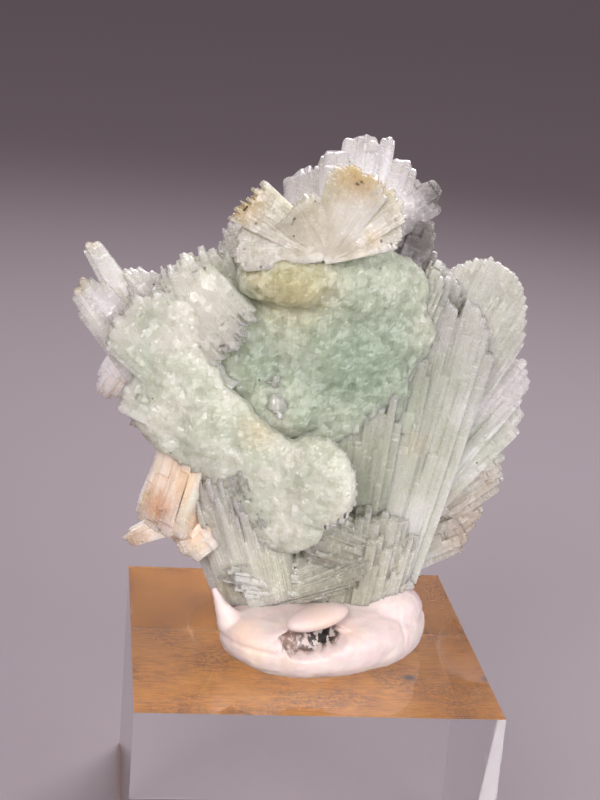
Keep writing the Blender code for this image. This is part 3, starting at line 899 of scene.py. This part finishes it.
def press_putty(point, normal):
    """Where a point of the plain lump goes, and how deep in the recess that is, from 0 to 1."""
    local = point - PUTTY_CENTRE
    along = local.dot(PUTTY_ALONG)
    front = smooth_step(local.dot(PUTTY_FRONT), 1.5, 4.5)
    level = point.z - RECESS_LEVEL - RECESS_SLOPE * (along + 5)
    uneven = 0.2 * noise.noise(point / 0.9)
    ring = math.hypot((along - RECESS_ALONG) / RECESS_HALF[0], level / RECESS_HALF[1]) + uneven
    hollow = 1 - smooth_step(ring, 0.72, 1.0)
    window = smooth_step(along, -12.5, -10) * (1 - smooth_step(along, -2.6, -0.6))
    lip = LIP_HEIGHT * window * hill((level - RECESS_HALF[1]) / 0.7)
    left = 1 - smooth_step(along, -10.5, -8)
    folds = -0.2 * left * (hill((point.z - 28.3) / 0.22) + hill((point.z - 26.6 - 0.1 * along) / 0.25))
    seams = -0.08 * smooth_step(along, 3, 6) * hill((along - 6.5 + 0.5 * noise.noise(point / 3)) / 0.25)
    rough = 0.3 * noise.noise(point / 4) + 0.07 * noise.fractal(point / 0.9, 1.0, 2.0, 3)
    pressed = PUTTY_FRONT * front * (lip - RECESS_DEPTH * hollow)
    return point + pressed + normal * (folds + seams + rough), hollow * front


def putty_object():
    """Putty squeezed round the foot of the crystals, with a tail that was drawn up its left side."""
    bm = bmesh.new()
    turn = Matrix.Rotation(PUTTY_TURN, 4, "Z")
    for vert in bmesh.ops.create_icosphere(bm, subdivisions=5, radius=1.0)["verts"]:
        x, y, z = vert.co
        height = math.copysign(abs(z) ** 0.75, z) * PUTTY_HALF[2] * (1.0 if z < 0 else 0.8)
        plump = Vector((x * PUTTY_HALF[0], y * PUTTY_HALF[1], height))
        vert.co = PUTTY_CENTRE + turn.to_3x3() @ plump
    shoulder = Matrix.Translation(SHOULDER_CENTRE) @ turn @ Matrix.Diagonal((*SHOULDER_HALF, 1.0))
    bmesh.ops.create_icosphere(bm, subdivisions=4, radius=1.0, matrix=shoulder)
    for low, high, wide, narrow in TAIL:
        low, high = Vector(low), Vector(high)
        aim = (high - low).to_track_quat("Z", "Y").to_matrix().to_4x4()
        bmesh.ops.create_cone(
            bm, cap_ends=True, segments=20, radius1=wide, radius2=narrow,
            depth=(high - low).length, matrix=Matrix.Translation((low + high) / 2) @ aim,
        )
    mesh = bpy.data.meshes.new("putty")
    bm.to_mesh(mesh)
    bm.free()
    mesh = with_modifiers(mesh, (
        ("REMESH", {"mode": "VOXEL", "voxel_size": PUTTY_STEP}),
        ("SMOOTH", {"factor": 0.5, "iterations": PUTTY_MELTING}),
    ))
    normals = [vert.normal.copy() for vert in mesh.vertices]
    hollows = []
    for vert, normal in zip(mesh.vertices, normals):
        point, hollow = press_putty(vert.co, normal)
        hollows.append(hollow)
        vert.co = Vector((point.x, point.y, max(point.z, PUTTY_BASE))) * MM
    mesh.attributes.new("hollow", "FLOAT", "POINT").data.foreach_set("value", hollows)
    bm = bmesh.new()
    bm.from_mesh(mesh)
    flap = Matrix.Translation(Vector(FLAP_CENTRE) * MM) @ turn @ Matrix.Rotation(FLAP_SLOPE, 4, "Y")
    flap = flap @ Matrix.Diagonal((*(half * MM for half in FLAP_HALF), 1.0))
    bmesh.ops.create_icosphere(bm, subdivisions=4, radius=1.0, matrix=flap)
    bm.to_mesh(mesh)
    bm.free()
    mesh.shade_smooth()
    return bpy.data.objects.new("putty", mesh)


def putty_material():
    material = plain("putty", (0.76, 0.62, 0.6), 0.5, Subsurface_Weight=0.3, Subsurface_Scale=0.001)
    n = Nodes(material)
    millimetres = n.scaled(n.place, (1000, 1000, 1000))
    clouds = n.noise(millimetres, 0.3, 3.0)
    grain = n.noise(millimetres, 2.2, 4.0, 0.7)
    color = n.mix(n.span(clouds, 0.35, 0.7), (0.78, 0.64, 0.62, 1), (0.86, 0.73, 0.69, 1))
    color = n.stained_and_shaded(color, millimetres, PUTTY_STAINS, grain)
    hollow = n.new("ShaderNodeAttribute", attribute_name="hollow").outputs["Fac"]
    marbling = n.noise(n.scaled(millimetres, (1.3, 1, 0.6)), 0.9, 4.0, 0.6)
    # Painted shade with a dark marbling: the deeper a point lies in the recess, the more of this darker
    # marbled colour it takes.
    hollow_marbling_and_shade = n.mix(n.span(marbling, 0.42, 0.56), (0.3, 0.2, 0.16, 1), (0.72, 0.6, 0.56, 1))
    color = n.mix(n.span(hollow, 0.3, 0.9), color, hollow_marbling_and_shade)
    # Partly a dark inclusion, partly painted shade: near black deep inside the recess.
    inclusion_and_painted_shade = n.mix(n.span(marbling, 0.5, 0.54), (0.012, 0.009, 0.008, 1), (0.55, 0.48, 0.45, 1))
    inside = n.span(hollow, 0.5, 0.9)
    inclusion_and_shade_share = n.math("MULTIPLY", inside, n.nearness(millimetres, (0.8, -9.4, 29.8), 4.4, grain))
    color = n.mix(inclusion_and_shade_share, color, inclusion_and_painted_shade)
    color = n.mix(n.specks(millimetres, 0.7, 0.05, 0.85), color, (0.25, 0.18, 0.15, 1))
    n.put(n.shader.inputs["Base Color"], color)
    n.put(n.shader.inputs["Roughness"], n.span(grain, 0.3, 0.7, 0.36, 0.6))
    n.put(n.shader.inputs["Normal"], n.bump(grain, 0.0001, 0.5))
    return material


def box_object(name, low, high):
    """A box as wide as the block, between two heights."""
    bm = bmesh.new()
    low = Vector((-BLOCK_HALF, -BLOCK_HALF, low))
    high = Vector((BLOCK_HALF, BLOCK_HALF, high))
    size = (high - low) * MM
    middle = (high + low) / 2 * MM
    bmesh.ops.create_cube(bm, size=1.0, matrix=Matrix.Translation(middle) @ Matrix.Diagonal((*size, 1.0)))
    mesh = bpy.data.meshes.new(name)
    bm.to_mesh(mesh)
    bm.free()
    return bpy.data.objects.new(name, mesh)


def acrylic_material():
    material = plain("acrylic", (1, 1, 1), 0.02, Transmission_Weight=1.0, IOR=1.49)
    n = Nodes(material)
    millimetres = n.scaled(n.place, (1000, 1000, 1000))
    smears = n.noise(millimetres, 0.25, 4.0, 0.7)
    n.put(n.shader.inputs["Roughness"], n.span(smears, 0.55, 0.75, 0.0, 0.06))
    return material


def sheet_material():
    material = plain("brown sheet", (0.5, 0.2, 0.04), 0.7)
    n = Nodes(material)
    millimetres = n.scaled(n.place, (1000, 1000, 1000))
    fibres = n.noise(n.scaled(millimetres, (0.5, 2.4, 1)), 1.0, 6.0, 0.75)
    clouds = n.noise(millimetres, 0.12, 3.0)
    grain = n.noise(millimetres, 2.6, 4.0, 0.7)
    color = n.mix(n.span(fibres, 0.3, 0.7), (0.48, 0.165, 0.01, 1), (0.9, 0.35, 0.03, 1))
    color = n.mix(n.math("MULTIPLY", n.span(clouds, 0.4, 0.7), 0.5), color, (0.8, 0.34, 0.04, 1))
    scuffs = n.math("MULTIPLY", n.span(clouds, 0.56, 0.4), n.span(grain, 0.48, 0.56))
    color = n.mix(n.math("MULTIPLY", scuffs, 0.5), color, (0.14, 0.06, 0.03, 1))
    color = n.mix(n.nearness(millimetres, (15, 8, 0.6), 1.2, grain), color, (0.1, 0.06, 0.07, 1))
    color = n.mix(n.specks(millimetres, 0.5, 0.045, 0.7), color, (0.9, 0.75, 0.6, 1))
    n.put(n.shader.inputs["Base Color"], color)
    n.put(n.shader.inputs["Normal"], n.bump(fibres, 0.0002, 0.6))
    return material


def show(piece, node, material):
    """Put a detailed piece in the place of a solid."""
    if piece.name not in bpy.context.scene.collection.objects:
        bpy.context.scene.collection.objects.link(piece)
    piece.data.materials.clear()
    piece.data.materials.append(material)
    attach(piece, "root")
    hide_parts(node)


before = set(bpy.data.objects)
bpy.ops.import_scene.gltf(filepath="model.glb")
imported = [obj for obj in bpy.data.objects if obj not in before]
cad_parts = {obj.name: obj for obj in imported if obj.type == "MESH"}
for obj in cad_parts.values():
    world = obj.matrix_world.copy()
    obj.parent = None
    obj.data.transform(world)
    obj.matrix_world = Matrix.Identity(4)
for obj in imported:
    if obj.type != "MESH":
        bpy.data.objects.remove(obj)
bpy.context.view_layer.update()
add_camera()
add_stage()
materials = {name: crystal_material(name, look) for name, look in LOOKS.items()}
for name, crystals in ZONES.items():
    show(zone_object(name, crystals), "crystal_cluster", materials[name])
show(putty_object(), "mineral_putty", putty_material())
block = box_object("block", SHEET_TOP + AIR, BLOCK_TOP)
show(block, "acrylic_block", acrylic_material())
sheet = box_object("sheet", 0, SHEET_TOP)
show(sheet, "backing_sheet", sheet_material())
